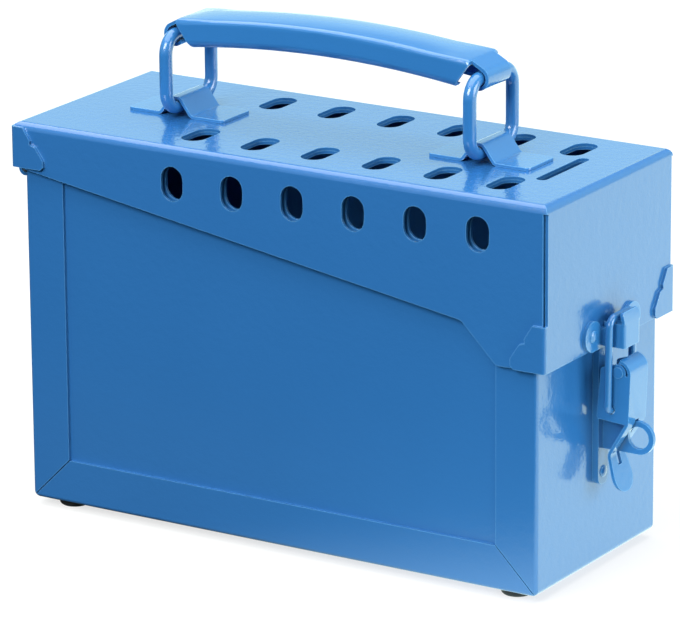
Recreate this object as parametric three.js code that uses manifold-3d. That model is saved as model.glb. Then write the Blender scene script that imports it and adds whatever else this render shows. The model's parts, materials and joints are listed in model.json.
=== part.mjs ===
// Group lockout box: a folded steel key box with a hinged slotted lid, a fold-down
// carrying handle and a padlockable draw latch on its right end wall.
// Millimetres, +Z up. The box stands on z = 0 and its long side runs along X.
import * as THREE from 'three';
import { mergeVertices } from 'three/addons/utils/BufferGeometryUtils.js';
import Module from 'manifold-3d';

const wasm = await Module();
wasm.setup();

// Sheet, gaps and drawing accuracy
const sheet = 1.2;
const weldGap = 0.05;
const runningGap = 0.3;
const overrun = 2;
const weldDistance = 0.0001;
const arcSteps = 8;
const holeSteps = 6;
const wireSides = 16;

// Body
const bodyWidth = 220.6;
const bodyDepth = 88;
const bodyBendRadius = 2.4;
const frameBendRadius = 1.6;
const frameStripWidth = 17;
const miterGap = 0.4;
const panelEdgeGap = 0.8;
const bodyTopGap = 0.8;
const footHeight = 3;

// Lid
const lidTop = 150.2;
const lidLeftGap = 2.8;
const lidRightGap = 3.8;
const lidSideGap = 0.8;
const lidBendRadius = 3;
const seamGap = 0.4;
const seamSetback = 1;
const leftWallDrop = 17;
const rightWallDrop = 61.6;
const skirtDropAtKnee = 47;
const skirtKneeInset = 35.3;
const skirtFootInset = 20.8;
const skirtCornerRadius = 3;
const tabWidth = 14.4;
const rightTabHeight = 17.3;
const leftTabBelowTop = 1.4;
const tabBendRadius = 1.6;

// Padlock slots and key slot
const slotCount = 6;
const slotPitch = 26;
const slotToKeySlot = 8.4;
const slotWidth = 9.5;
const topSlotLength = 18.6;
const topSlotInset = 17.7;
const skirtSlotLength = 13.2;
const skirtSlotDrop = 14.2;
const keySlotInset = 19.9;
const keySlotWidth = 4.4;
const keySlotLength = 34;
const linerSideMargin = 2.8;
const linerEndMargin = 5;

// Rubber feet
const footRadius = 6;
const footChamfer = 0.8;
const footInsetX = 13.1;
const footInsetY = 9.2;
const footStemRadius = 2;
const footBarbRadius = 3;
const footBarbHeight = 2.4;

// Continuous hinge on the left end wall
const hingeEndGap = 4;
const hingeKnuckles = 7;
const knuckleRadius = 2.7;
const hingePinRadius = 1.1;
const hingeLeaf = 1;
const hingeAxisBelowLidTop = 19.5;
const leafHeight = 15;

// Handle
const wireRadius = 2.5;
const handleSpacing = 131;
const ringHeight = 27.9;
const ringWidth = 30.4;
const ringCornerRadius = 7;
const ringAboveLid = 1.2;
const clipLength = 42.5;
const clipPastBar = 1.3;
const clipSheet = 1.2;
const clipRingGap = 0.4;
const clipTentFoot = 6.6;
const clipTentCrown = 1.6;
const clipFootRadius = 1.6;
const clipCrownRadius = 1.5;
const clipCornerRadius = 1.8;
const gripWidth = 21.6;
const gripHeight = 11.6;
const gripSheet = 1.3;
const gripEdgeRadius = 2;
const gripCrownDome = 1.3;
const gripFootRadius = 3.4;
const gripLip = 3.2;
const gripShift = 1.4;
const gripFlangeInset = 2.5;
const gripFlangeRake = 6.6;
const gripFlangeCornerRadius = 1;
const gripRiseAtMiddle = 11.4;
const gripArch = 4.6;
const gripBendSteps = 16;
const gripNeckPastBar = 1.2;
const gripNeckShortOfBar = 1.6;
const gripNeckInset = 3.5;
const gripFlatLength = 16;
const curlGap = 0.7;
const curlWrapDegrees = 205;

// Draw latch: distances out from the body's right end wall, and heights below the lower
// edge of the lid's right end wall
const latchSheet = 1.2;
const latchBaseThickness = 2.6;
const latchBaseTop = 2.4;
const latchBaseBottom = 54.6;
const pivotOut = 12;
const pivotDown = 9;
const pivotPinRadius = 1.3;
const pivotHeadRadius = 2.2;
const pivotHead = 0.45;
const earRadius = 3;
const earGap = 1.5;
const earArmTop = 21.4;
const earArmBottom = 28.6;
const leverWidth = 13;
const leverTopOut = 17.1;
const leverBottomOut = 16.3;
const leverBackOut = 3.2;
const leverShoulderOut = 4.9;
const leverBottomDown = 28.4;
const leverBackRise = 0.9;
const leverShoulderDown = 8;
const leverCornerRadius = 1.2;
const cheekLobeRadius = 3.1;
const cheekNotch = 0.5;
const rollRadius = 5.2;
const rollCentreDown = 9.4;
const rollDegrees = 82;
const tailBendOut = 8.3;
const tailBendDown = 41.4;
const tailBendRadius = 2.2;
const tailWaist = 10.2;
const fingerTipOut = 12.7;
const fingerTipDown = 55.4;
const fingerWidth = 12.6;
const fingerTipRadius = 5.6;
const staplePlate = 1.6;
const stapleOut = 17.4;
const stapleDown = 34.4;
const stapleRingRadius = 6.3;
const stapleHoleRadius = 4.2;
const stapleNeckRise = 4.4;
const stapleSlotGap = 0.5;
const slotBelowBend = 4.4;
const bailWireRadius = 1.4;
const bailPivotOut = 9;
const bailPivotDown = 23.5;
const bailBarOut = 9.5;
const bailCornerRadius = 3.6;
const bailFootRadius = 2.3;
const bailSeatGap = 0.8;

// Keeper on the lid
const keeperSheet = 1.3;
const keeperWidth = 11.6;
const keeperDepth = 9.2;
const keeperSeatHeight = 9;
const keeperEarRadius = 5.7;
const keeperEarSpacing = 29;
const keeperBridgeAboveEar = 1.3;
const keeperLipFoot = 1;
const keeperLipHeight = 3.4;
const keeperLipLean = 0.9;
const keeperLipCornerRadius = 1.8;

// Rivets
const rivetHeadRadius = 2.4;
const rivetHead = 0.9;
const rivetShankRadius = 1.4;
const lowerRivetInset = 5;
const upperRivetDown = 12;

// Places worked out from the sizes above
const bodyBottom = footHeight;
const bodyHalfWidth = bodyWidth / 2;
const bodyHalfDepth = bodyDepth / 2;
const lidLeft = -bodyHalfWidth - lidLeftGap - sheet;
const lidRight = bodyHalfWidth + lidRightGap + sheet;
const lidHalfDepth = bodyHalfDepth + lidSideGap + sheet;
const lidBottomRight = lidTop - rightWallDrop;
const lidBottomLeft = lidTop - leftWallDrop;
const linerBottom = lidTop - 2 * sheet - weldGap;
const bodyTop = linerBottom - bodyTopGap;
const panelOuterY = bodyHalfDepth - sheet - weldGap;
const panelInnerY = panelOuterY - sheet;
const keySlotX = lidRight - keySlotInset;
const firstSlotX = keySlotX - slotToKeySlot - (slotCount - 1) * slotPitch;
const topSlotRowY = bodyHalfDepth - topSlotInset;
const skirtSlotZ = lidTop - skirtSlotDrop;
const hingeLength = bodyDepth - 2 * hingeEndGap;
const hingeAxisX = -bodyHalfWidth - knuckleRadius - runningGap;
const hingeAxisZ = lidTop - hingeAxisBelowLidTop;
const ringBarZ = lidTop + ringAboveLid + wireRadius;
const ringTopZ = ringBarZ + ringHeight;
const straightBarHalf = ringWidth / 2 - ringCornerRadius;
const clipHalfWidth = straightBarHalf + clipPastBar;
const clipTentTop = ringBarZ + wireRadius + clipRingGap + clipSheet;
const ringX = handleSpacing / 2;
const gripTop = ringTopZ + gripRiseAtMiddle;
const gripFlangeEnd = ringX - gripFlangeInset;
const gripNeckStart = ringX - gripNeckInset;
const gripCurlRadius = wireRadius + curlGap + gripSheet;
const outFromWall = (distance) => bodyHalfWidth + distance;
const downFromLid = (distance) => lidBottomRight - distance;
const pivotX = outFromWall(pivotOut);
const pivotZ = downFromLid(pivotDown);
const latchBaseHalf = leverWidth / 2 - latchSheet - earGap;
const latchBaseFace = outFromWall(latchBaseThickness);
const leverTopX = outFromWall(leverTopOut);
const leverBottomX = outFromWall(leverBottomOut);
const leverBottomZ = downFromLid(leverBottomDown);
const leverBackX = outFromWall(leverBackOut);
const leverShoulderX = outFromWall(leverShoulderOut);
const leverShoulderZ = downFromLid(leverShoulderDown);
const rollCentreX = leverTopX - rollRadius;
const rollCentreZ = downFromLid(rollCentreDown);
const tailBendX = outFromWall(tailBendOut);
const tailBendZ = downFromLid(tailBendDown);
const fingerTipX = outFromWall(fingerTipOut);
const fingerTipZ = downFromLid(fingerTipDown);
const stapleX = outFromWall(stapleOut);
const stapleZ = downFromLid(stapleDown);
const keeperSeatZ = lidBottomRight + keeperSeatHeight;
const keeperEarZ = lidBottomRight + keeperEarRadius;
const bailPivotX = outFromWall(bailPivotOut);
const bailPivotZ = downFromLid(bailPivotDown);
const bailBarX = outFromWall(bailBarOut);
const bailBarZ = keeperSeatZ + bailSeatGap + bailWireRadius;
const bailHalfWidth = leverWidth / 2 + pivotHead + runningGap + bailWireRadius;
const latchRivetHeights = [downFromLid(latchBaseBottom) + lowerRivetInset, downFromLid(upperRivetDown)];

// Solids from closed geometries, and back
function toSolid(geometry) {
  const bare = geometry.clone();
  bare.deleteAttribute('normal');
  bare.deleteAttribute('uv');
  const merged = mergeVertices(bare, weldDistance);
  const numbers = new Float32Array(merged.attributes.position.array);
  const corners = new Uint32Array(merged.index.array);
  return new wasm.Manifold(new wasm.Mesh({ numProp: 3, vertProperties: numbers, triVerts: corners }));
}

function toGeometry(solid) {
  const mesh = solid.getMesh();
  const geometry = new THREE.BufferGeometry();
  geometry.setAttribute('position', new THREE.BufferAttribute(new Float32Array(mesh.vertProperties), 3));
  geometry.setIndex(new THREE.BufferAttribute(new Uint32Array(mesh.triVerts), 1));
  return geometry;
}

const join = (...solids) => solids.reduce((whole, piece) => whole.add(piece));
const cut = (solid, ...tools) => tools.reduce((rest, tool) => rest.subtract(tool), solid);

// Closed shape through corners [x, y, fillet radius]
function outline(corners) {
  const points = roundedPath(corners, true);
  const shape = new THREE.Shape();
  shape.moveTo(points[0].x, points[0].y);
  points.slice(1).forEach((point) => shape.lineTo(point.x, point.y));
  shape.closePath();
  return shape;
}

// Points along corners [x, y, fillet radius], open or closed
function roundedPath(corners, closed) {
  const count = corners.length;
  return corners.flatMap(([x, y, radius = 0], index) => {
    const here = new THREE.Vector2(x, y);
    const isEnd = !closed && (index === 0 || index === count - 1);
    if (isEnd || radius === 0) return [here];
    const before = corners[(index + count - 1) % count];
    const after = corners[(index + 1) % count];
    const back = new THREE.Vector2(before[0] - x, before[1] - y).normalize();
    const ahead = new THREE.Vector2(after[0] - x, after[1] - y).normalize();
    return filletPoints(here, back, ahead, radius);
  });
}

// Points of a fillet between two edge directions that leave one corner
function filletPoints(corner, back, ahead, radius) {
  const half = Math.acos(THREE.MathUtils.clamp(back.dot(ahead), -1, 1)) / 2;
  const reach = radius / Math.tan(half);
  const middle = back.clone().add(ahead).normalize().multiplyScalar(radius / Math.sin(half));
  const centre = corner.clone().add(middle);
  const start = corner.clone().addScaledVector(back, reach).sub(centre);
  const end = corner.clone().addScaledVector(ahead, reach).sub(centre);
  const first = Math.atan2(start.y, start.x);
  let sweep = Math.atan2(end.y, end.x) - first;
  if (sweep > Math.PI) sweep -= 2 * Math.PI;
  if (sweep < -Math.PI) sweep += 2 * Math.PI;
  const steps = Math.max(2, Math.round(arcSteps * Math.abs(sweep) / (Math.PI / 2)));
  return arcPoints(centre, radius, first, sweep, steps);
}

function arcPoints(centre, radius, first, sweep, steps) {
  return Array.from({ length: steps + 1 }, (_, step) => {
    const angle = first + sweep * step / steps;
    return new THREE.Vector2(centre.x + radius * Math.cos(angle), centre.y + radius * Math.sin(angle));
  });
}

// Angle, seen from a circle's centre, at which a line from a place outside touches the
// circle, on one side (1 or -1)
function touchAngle(from, centre, radius, side) {
  const away = from.clone().sub(centre);
  return Math.atan2(away.y, away.x) + side * Math.acos(radius / away.length());
}

function touchPoint(from, centre, radius, side) {
  return arcPoints(centre, radius, touchAngle(from, centre, radius, side), 0, 1)[0].toArray();
}

// Closed shape of a bent strap: one face runs through corners [x, y, inner bend radius],
// the other lies one thickness to its left
function bentStrap(corners, thickness) {
  const points = corners.map(([x, y]) => new THREE.Vector2(x, y));
  const near = [];
  const far = [];
  corners.forEach(([x, y, radius = 0], index) => {
    const here = points[index];
    const back = here.clone().sub(points[Math.max(index - 1, 0)]).normalize();
    const ahead = points[Math.min(index + 1, points.length - 1)].clone().sub(here).normalize();
    const arriving = index === 0 ? ahead : back;
    const leaving = index === points.length - 1 ? back : ahead;
    const across = new THREE.Vector2(-arriving.y - leaving.y, arriving.x + leaving.x);
    across.multiplyScalar(thickness / (1 + arriving.dot(leaving)));
    const bendsLeft = arriving.cross(leaving) > 0;
    const outerRadius = radius > 0 ? radius + thickness : 0;
    near.push([x, y, bendsLeft ? outerRadius : radius]);
    far.unshift([x + across.x, y + across.y, bendsLeft ? radius : outerRadius]);
  });
  return outline([...near, ...far]);
}

function rectangle(x0, y0, x1, y1, radius = 0) {
  return outline([[x0, y0, radius], [x1, y0, radius], [x1, y1, radius], [x0, y1, radius]]);
}

function shapeThrough(points) {
  return outline(points.map((point) => [point.x, point.y]));
}

// Obround of a width and a length, its long axis along the second direction
function obround(x, y, width, length) {
  const radius = width / 2;
  const straight = (length - width) / 2;
  const upper = arcPoints(new THREE.Vector2(x, y + straight), radius, 0, Math.PI, 2 * holeSteps);
  const lower = arcPoints(new THREE.Vector2(x, y - straight), radius, Math.PI, Math.PI, 2 * holeSteps);
  return shapeThrough([...upper, ...lower]);
}

function circle(x, y, radius, steps = 4 * holeSteps) {
  const points = arcPoints(new THREE.Vector2(x, y), radius, 0, 2 * Math.PI, steps);
  return shapeThrough(points.slice(1));
}

// Prisms: a shape drawn in (X, Y), (X, Z) or (Y, Z) and carried along the third axis
function prism(shape, from, to, axes, steps = 1) {
  const geometry = new THREE.ExtrudeGeometry(shape, { depth: to - from, bevelEnabled: false, steps });
  geometry.translate(0, 0, from);
  geometry.applyMatrix4(axes);
  return geometry;
}

const axisX = new THREE.Vector3(1, 0, 0);
const axisY = new THREE.Vector3(0, 1, 0);
const axisZ = new THREE.Vector3(0, 0, 1);
const drawnOnXY = new THREE.Matrix4();
const drawnOnXZ = new THREE.Matrix4().makeBasis(axisX, axisZ, axisY.clone().negate());
const drawnOnYZ = new THREE.Matrix4().makeBasis(axisY, axisZ, axisX);
const alongZ = (shape, z0, z1) => toSolid(prism(shape, z0, z1, drawnOnXY));
const alongY = (shape, y0, y1) => toSolid(prism(shape, -y1, -y0, drawnOnXZ));
const alongX = (shape, x0, x1) => toSolid(prism(shape, x0, x1, drawnOnYZ));
const block = (x0, x1, y0, y1, z0, z1) => alongZ(rectangle(x0, y0, x1, y1), z0, z1);
const mirrorY = (solid) => solid.mirror([0, 1, 0]);

// Round bar along Y or X
const barY = (x, z, radius, y0, y1, steps) => alongY(circle(x, z, radius, steps), y0, y1);
const barX = (y, z, radius, x0, x1, steps) => alongX(circle(y, z, radius, steps), x0, x1);

// Round wire of one radius along a centre line in the plane of one x
function wire(path, radius, x, closed) {
  const count = path.length;
  const positions = [];
  const faces = [];
  path.forEach((point, index) => {
    const before = path[closed ? (index + count - 1) % count : Math.max(index - 1, 0)];
    const after = path[closed ? (index + 1) % count : Math.min(index + 1, count - 1)];
    const back = point.clone().sub(before).normalize();
    const ahead = after.clone().sub(point).normalize();
    const heading = back.add(ahead).normalize();
    const side = new THREE.Vector2(-heading.y, heading.x);
    const cosine = point === before || point === after ? 1 : Math.abs(ahead.dot(heading));
    for (let spoke = 0; spoke < wireSides; spoke += 1) {
      const angle = 2 * Math.PI * spoke / wireSides;
      const outward = radius * Math.cos(angle) / cosine;
      positions.push(x + radius * Math.sin(angle), point.x + outward * side.x, point.y + outward * side.y);
    }
  });
  const rings = closed ? count : count - 1;
  for (let ring = 0; ring < rings; ring += 1) {
    for (let spoke = 0; spoke < wireSides; spoke += 1) {
      const a = ring * wireSides + spoke;
      const b = ring * wireSides + (spoke + 1) % wireSides;
      const c = ((ring + 1) % count) * wireSides + spoke;
      const d = ((ring + 1) % count) * wireSides + (spoke + 1) % wireSides;
      faces.push(a, c, b, b, c, d);
    }
  }
  if (!closed) {
    const last = (count - 1) * wireSides;
    for (let spoke = 1; spoke < wireSides - 1; spoke += 1) {
      faces.push(0, spoke, spoke + 1, last, last + spoke + 1, last + spoke);
    }
  }
  const geometry = new THREE.BufferGeometry();
  geometry.setAttribute('position', new THREE.BufferAttribute(new Float32Array(positions), 3));
  geometry.setIndex(faces);
  const solid = toSolid(geometry);
  return solid.volume() < 0 ? toSolid(turnedFaces(geometry)) : solid;
}

function turnedFaces(geometry) {
  const turned = geometry.clone();
  const order = Array.from(geometry.index.array);
  for (let start = 0; start < order.length; start += 3) {
    [order[start + 1], order[start + 2]] = [order[start + 2], order[start + 1]];
  }
  turned.setIndex(order);
  return turned;
}

// Rounded block that a folded sheet wraps: its profile is drawn in (X, Z) and the two
// ends along Y are rounded too
function foldedBlock(profile, halfDepth, endRadius) {
  const geometry = new THREE.ExtrudeGeometry(profile, {
    depth: 2 * (halfDepth - endRadius),
    bevelEnabled: true,
    bevelThickness: endRadius,
    bevelSize: endRadius,
    bevelOffset: -endRadius,
    bevelSegments: arcSteps / 2,
    steps: 1,
  });
  geometry.translate(0, 0, -(halfDepth - endRadius));
  geometry.applyMatrix4(drawnOnXZ);
  return toSolid(geometry);
}

// Body wrapper: one strip folded into two end walls and a floor, with mitred frame
// strips turned in at the front and the rear
function bodyShell() {
  const above = bodyTop + 2 * bodyBendRadius;
  const radius = bodyBendRadius;
  const outer = foldedBlock(rectangle(-bodyHalfWidth, bodyBottom, bodyHalfWidth, above, radius),
    bodyHalfDepth, frameBendRadius);
  const innerHalf = bodyHalfWidth - sheet;
  const innerShape = rectangle(-innerHalf, bodyBottom + sheet, innerHalf, above + overrun, radius - sheet);
  const inner = foldedBlock(innerShape, bodyHalfDepth - sheet, frameBendRadius - sheet);
  const windowHalf = bodyHalfWidth - frameStripWidth;
  const windowBottom = bodyBottom + frameStripWidth;
  const window = rectangle(-windowHalf, windowBottom, windowHalf, above + overrun);
  const throughWindow = alongY(window, -bodyHalfDepth - overrun, bodyHalfDepth + overrun);
  const aboveTop = block(-bodyWidth, bodyWidth, -bodyDepth, bodyDepth, bodyTop, above + 2 * overrun);
  const feetHoles = footPlaces().map(([x, y]) => {
    const hole = circle(x, y, footStemRadius + runningGap);
    return alongZ(hole, bodyBottom - overrun, bodyBottom + sheet + overrun);
  });
  const rivetHoles = latchRivetHeights.map((z) => barX(0, z, rivetShankRadius + runningGap,
    bodyHalfWidth - sheet - overrun, bodyHalfWidth + overrun));
  const seams = miterSeams(windowHalf, windowBottom);
  return cut(outer, inner, throughWindow, aboveTop, ...feetHoles, ...rivetHoles, ...seams);
}

// Open joints between the frame strips at the lower corners, front and rear
function miterSeams(windowHalf, windowBottom) {
  const seams = [];
  [-1, 1].forEach((side) => {
    const inner = new THREE.Vector2(side * windowHalf, windowBottom);
    const bend = bodyBendRadius / 2;
    const outer = new THREE.Vector2(side * (bodyHalfWidth - bend), bodyBottom + bend);
    const heading = outer.clone().sub(inner).normalize();
    const across = new THREE.Vector2(-heading.y, heading.x).multiplyScalar(miterGap / 2);
    const start = inner.clone().addScaledVector(heading, -overrun);
    const corners = [start.clone().add(across), outer.clone().add(across),
      outer.clone().sub(across), start.clone().sub(across)];
    const front = alongY(shapeThrough(corners), -bodyHalfDepth - overrun, -panelOuterY);
    seams.push(front, mirrorY(front));
  });
  return seams;
}

// Slotted panels that stand behind the frame strips, front and rear
function slottedPanel(side) {
  const half = bodyHalfWidth - sheet - panelEdgeGap;
  const bottom = bodyBottom + sheet + panelEdgeGap;
  const sheetOutline = rectangle(-half, bottom, half, bodyTop);
  const near = side < 0 ? -panelOuterY : panelInnerY;
  const panel = alongY(sheetOutline, near, near + sheet);
  return cut(panel, ...skirtSlots(side));
}

function slotPlaces() {
  return Array.from({ length: slotCount }, (_, index) => firstSlotX + index * slotPitch);
}

function skirtSlots(side) {
  const reach = lidHalfDepth + overrun;
  const inside = panelInnerY - overrun;
  const span = side < 0 ? [-reach, -inside] : [inside, reach];
  return slotPlaces().map((x) => alongY(obround(x, skirtSlotZ, slotWidth, skirtSlotLength), ...span));
}

function topSlots() {
  const low = linerBottom - overrun;
  const high = lidTop + overrun;
  const slots = [];
  [-topSlotRowY, topSlotRowY].forEach((y) => {
    slotPlaces().forEach((x) => slots.push(alongZ(obround(x, y, slotWidth, topSlotLength), low, high)));
  });
  slots.push(alongZ(obround(keySlotX, 0, keySlotWidth, keySlotLength), low, high));
  return slots;
}

function footPlaces() {
  const x = bodyHalfWidth - footInsetX;
  const y = bodyHalfDepth - footInsetY;
  return [[-x, -y], [x, -y], [-x, y], [x, y]];
}

// Push-in rubber foot: pad, stem through the floor and a barb that holds it
function rubberFoot(x, y) {
  const floor = bodyBottom + sheet;
  const profile = [
    [0, 0], [footRadius - footChamfer, 0], [footRadius, footChamfer], [footRadius, bodyBottom],
    [footStemRadius, bodyBottom], [footStemRadius, floor], [footBarbRadius, floor],
    [footStemRadius, floor + footBarbHeight], [0, floor + footBarbHeight],
  ].map(([radius, z]) => new THREE.Vector2(radius, z));
  const geometry = new THREE.LatheGeometry(profile, 4 * arcSteps);
  geometry.rotateX(Math.PI / 2);
  geometry.translate(x, y, 0);
  return toSolid(geometry);
}

// Continuous hinge: two leaves whose knuckles take turns on one pin
function hingeLeafWithKnuckles(forLid) {
  const pitch = hingeLength / hingeKnuckles;
  const knuckles = [];
  for (let index = forLid ? 1 : 0; index < hingeKnuckles; index += 2) {
    const y0 = -hingeLength / 2 + index * pitch + runningGap / 2;
    knuckles.push(barY(hingeAxisX, hingeAxisZ, knuckleRadius, y0, y0 + pitch - runningGap));
  }
  const leafInner = forLid ? lidLeft + sheet + weldGap : -bodyHalfWidth - weldGap - hingeLeaf;
  const z0 = forLid ? hingeAxisZ : hingeAxisZ - leafHeight;
  const z1 = forLid ? hingeAxisZ + leafHeight : hingeAxisZ;
  const leaf = block(leafInner, leafInner + hingeLeaf, -hingeLength / 2, hingeLength / 2, z0, z1);
  const gaps = [];
  const reach = knuckleRadius + runningGap;
  for (let index = forLid ? 0 : 1; index < hingeKnuckles; index += 2) {
    const y0 = -hingeLength / 2 + index * pitch - runningGap / 2;
    gaps.push(block(hingeAxisX - reach, hingeAxisX + reach + hingeLeaf, y0, y0 + pitch + runningGap,
      hingeAxisZ - reach, hingeAxisZ + reach));
  }
  const bore = barY(hingeAxisX, hingeAxisZ, hingePinRadius + runningGap, -hingeLength, hingeLength);
  return cut(join(cut(leaf, ...gaps), ...knuckles), bore);
}

function hingePin() {
  return barY(hingeAxisX, hingeAxisZ, hingePinRadius, -hingeLength / 2, hingeLength / 2);
}

// Lid: slotted top, slanting front and rear skirts, a deep right end wall and a short
// left one, open seams at the corners and tabs that wrap them
function lidShell() {
  const low = lidBottomRight - 2 * overrun;
  const outer = cappedBlock(lidLeft, lidRight, lidHalfDepth, low, lidTop, lidBendRadius);
  const inner = cappedBlock(lidLeft + sheet, lidRight - sheet, lidHalfDepth - sheet,
    low - overrun, lidTop - sheet, lidBendRadius - sheet);
  const belowSkirts = alongY(skirtWaste(low), -lidHalfDepth - overrun, lidHalfDepth + overrun);
  const belowRight = block(lidRight - sheet - seamGap, lidRight + overrun,
    -lidHalfDepth - overrun, lidHalfDepth + overrun, low - overrun, lidBottomRight);
  const hingeRoom = block(lidLeft - overrun, lidLeft + sheet + seamGap,
    -hingeLength / 2 - runningGap, hingeLength / 2 + runningGap,
    low, hingeAxisZ + knuckleRadius + runningGap);
  const keeperHoles = [-1, 1].map((side) => barX(side * keeperEarSpacing / 2, keeperEarZ,
    rivetShankRadius + runningGap, lidRight - sheet - overrun, lidRight + overrun));
  const folded = cut(outer, inner, belowSkirts, belowRight, hingeRoom, ...cornerSeams());
  const slots = [...topSlots(), ...skirtSlots(-1), ...skirtSlots(1)];
  return cut(join(folded, ...cornerTabs()), ...slots, ...keeperHoles);
}

// Block with rounded upper edges and square upright corners
function cappedBlock(x0, x1, halfDepth, z0, z1, radius) {
  const geometry = new THREE.ExtrudeGeometry(rectangle(x0, -halfDepth, x1, halfDepth), {
    depth: z1 - z0,
    bevelEnabled: true,
    bevelThickness: radius,
    bevelSize: radius,
    bevelOffset: -radius,
    bevelSegments: arcSteps / 2,
    steps: 1,
  });
  geometry.translate(0, 0, z0 - radius);
  const low = block(x0 - overrun, x1 + overrun, -halfDepth - overrun, halfDepth + overrun,
    z0 - 2 * radius - overrun, z0);
  return cut(toSolid(geometry), low);
}

// What is cut away below the skirts, seen from the front
function skirtWaste(low) {
  return outline([
    [lidLeft - overrun, lidBottomLeft], [lidLeft, lidBottomLeft],
    [lidRight - skirtKneeInset, lidTop - skirtDropAtKnee, skirtCornerRadius],
    [lidRight - skirtFootInset, lidBottomRight, skirtCornerRadius],
    [lidRight + overrun, lidBottomRight], [lidRight + overrun, low - overrun],
    [lidLeft - overrun, low - overrun],
  ]);
}

// Open upright seams where the skirts meet the end walls; above its tabs the right end
// wall also stands a little behind the skirts' faces
function cornerSeams() {
  const top = lidTop - lidBendRadius;
  const inner = lidHalfDepth - sheet - overrun;
  const outer = lidHalfDepth + overrun;
  const rightSeamX = lidRight - sheet - seamGap;
  const aboveTab = lidBottomRight + rightTabHeight;
  const fronts = [
    block(rightSeamX, rightSeamX + seamGap, -outer, -inner, lidBottomRight - overrun, top),
    block(lidLeft + sheet, lidLeft + sheet + seamGap, -outer, -inner, lidBottomLeft - overrun, top),
    block(rightSeamX, lidRight + overrun, -outer, -lidHalfDepth + seamSetback, aboveTab, top),
  ];
  return fronts.flatMap((front) => [front, mirrorY(front)]);
}

// Corner tabs: three leave an end wall and lie on a skirt; the one at the rear right
// leaves the skirt and lies on the end wall
function cornerTabs() {
  const leftTabHeight = leftWallDrop - leftTabBelowTop;
  const left = tabOnSkirt(-1, lidLeft, lidBottomLeft, leftTabHeight);
  const right = tabOnSkirt(1, lidRight, lidBottomRight, rightTabHeight);
  return [left, mirrorY(left), right, tabOnEndWall(lidBottomRight, rightTabHeight)];
}

function tabOnSkirt(side, wallX, z, height) {
  const edge = wallX - side * tabWidth;
  const deep = lidHalfDepth - 2 * sheet;
  const angle = alongZ(outline([
    [wallX, -deep], [wallX, -lidHalfDepth - sheet, tabBendRadius], [edge, -lidHalfDepth - sheet],
    [edge, -lidHalfDepth], [wallX - side * sheet, -lidHalfDepth], [wallX - side * sheet, -deep],
  ]), z, z + height);
  return angle.intersect(alongY(tabOutline(wallX, side, z, height), -lidHalfDepth - overrun, -deep));
}

function tabOnEndWall(z, height) {
  const edge = lidHalfDepth - tabWidth;
  const deep = lidRight - sheet - seamGap - tabBendRadius;
  const angle = alongZ(outline([
    [deep, lidHalfDepth], [lidRight + sheet, lidHalfDepth, tabBendRadius], [lidRight + sheet, edge],
    [lidRight, edge], [lidRight, lidHalfDepth - sheet], [deep, lidHalfDepth - sheet],
  ]), z, z + height);
  return angle.intersect(alongX(tabOutline(lidHalfDepth, 1, z, height), deep, lidRight + overrun));
}

// Stepped slanting edge of a corner tab, as shares of its width and height; it is drawn
// from the corner that the tab wraps
function tabOutline(corner, side, z, height) {
  const edgeShares = [[0.9, 0], [1, 0.08], [1, 0.23], [0.75, 0.55], [0.58, 0.6], [0.6, 0.69], [0.37, 1]];
  const edge = edgeShares.map(([across, up]) => [corner - side * across * tabWidth, z + up * height]);
  const out = corner + side * overrun;
  return outline([[out, z], ...edge, [out, z + height]]);
}

// Liner welded under the lid's top, with the same slots
function lidLiner() {
  const high = lidTop - sheet - weldGap;
  const halfDepth = panelInnerY - linerSideMargin;
  const half = bodyHalfWidth - linerEndMargin;
  const plate = alongZ(rectangle(-half, -halfDepth, half, halfDepth, linerEndMargin), high - sheet, high);
  return cut(plate, ...topSlots());
}

// Strap clip that holds a handle ring on the lid
function handleClip(x) {
  const half = clipLength / 2;
  const crown = clipTentTop - clipSheet;
  const strap = alongY(bentStrap([
    [x - half, lidTop],
    [x - clipTentFoot, lidTop, clipFootRadius],
    [x - clipTentCrown, crown, clipCrownRadius],
    [x + clipTentCrown, crown, clipCrownRadius],
    [x + clipTentFoot, lidTop, clipFootRadius],
    [x + half, lidTop],
  ], clipSheet), -clipHalfWidth, clipHalfWidth);
  const plan = rectangle(x - half, -clipHalfWidth, x + half, clipHalfWidth, clipCornerRadius);
  return strap.intersect(alongZ(plan, lidTop - overrun, clipTentTop + overrun));
}

function handleRing(x) {
  const half = ringWidth / 2;
  const radius = ringCornerRadius;
  const path = roundedPath([[-half, ringBarZ, radius], [half, ringBarZ, radius],
    [half, ringTopZ, radius], [-half, ringTopZ, radius]], true);
  return wire(path, wireRadius, x, true);
}

// Grip: an arched channel with rolled-in lips, whose crown narrows at both ends, slopes
// down and curls round the upper bar of each ring
function handleGrip() {
  const channel = cut(archedBar(gripSection(0), gripFlangeEnd),
    archedBar(gripSection(gripSheet), gripFlangeEnd + overrun),
    archedBar(gripMouth(), gripFlangeEnd + overrun), ...rakedEnds());
  return join(channel, gripEnd(1), gripEnd(-1));
}

// Outline of the channel across the grip, set in by an even amount: a domed crown,
// upright sides and round feet
function gripSection(inset) {
  const half = gripWidth / 2;
  const domeRadius = (half ** 2 + gripCrownDome ** 2) / (2 * gripCrownDome);
  const centre = new THREE.Vector2(-gripShift, gripTop - domeRadius);
  const spread = Math.asin((half - inset) / (domeRadius - inset));
  const dome = arcPoints(centre, domeRadius - inset, Math.PI / 2 - spread, 2 * spread, arcSteps);
  const last = dome.length - 1;
  const crown = dome.map((point, index) => {
    const isEdge = index === 0 || index === last;
    return [point.x, point.y, isEdge ? gripEdgeRadius - inset : 0];
  });
  const foot = gripTop - gripHeight + inset;
  return outline([[-gripShift - half + inset, foot, gripFootRadius - inset],
    [-gripShift + half - inset, foot, gripFootRadius - inset], ...crown]);
}

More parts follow.
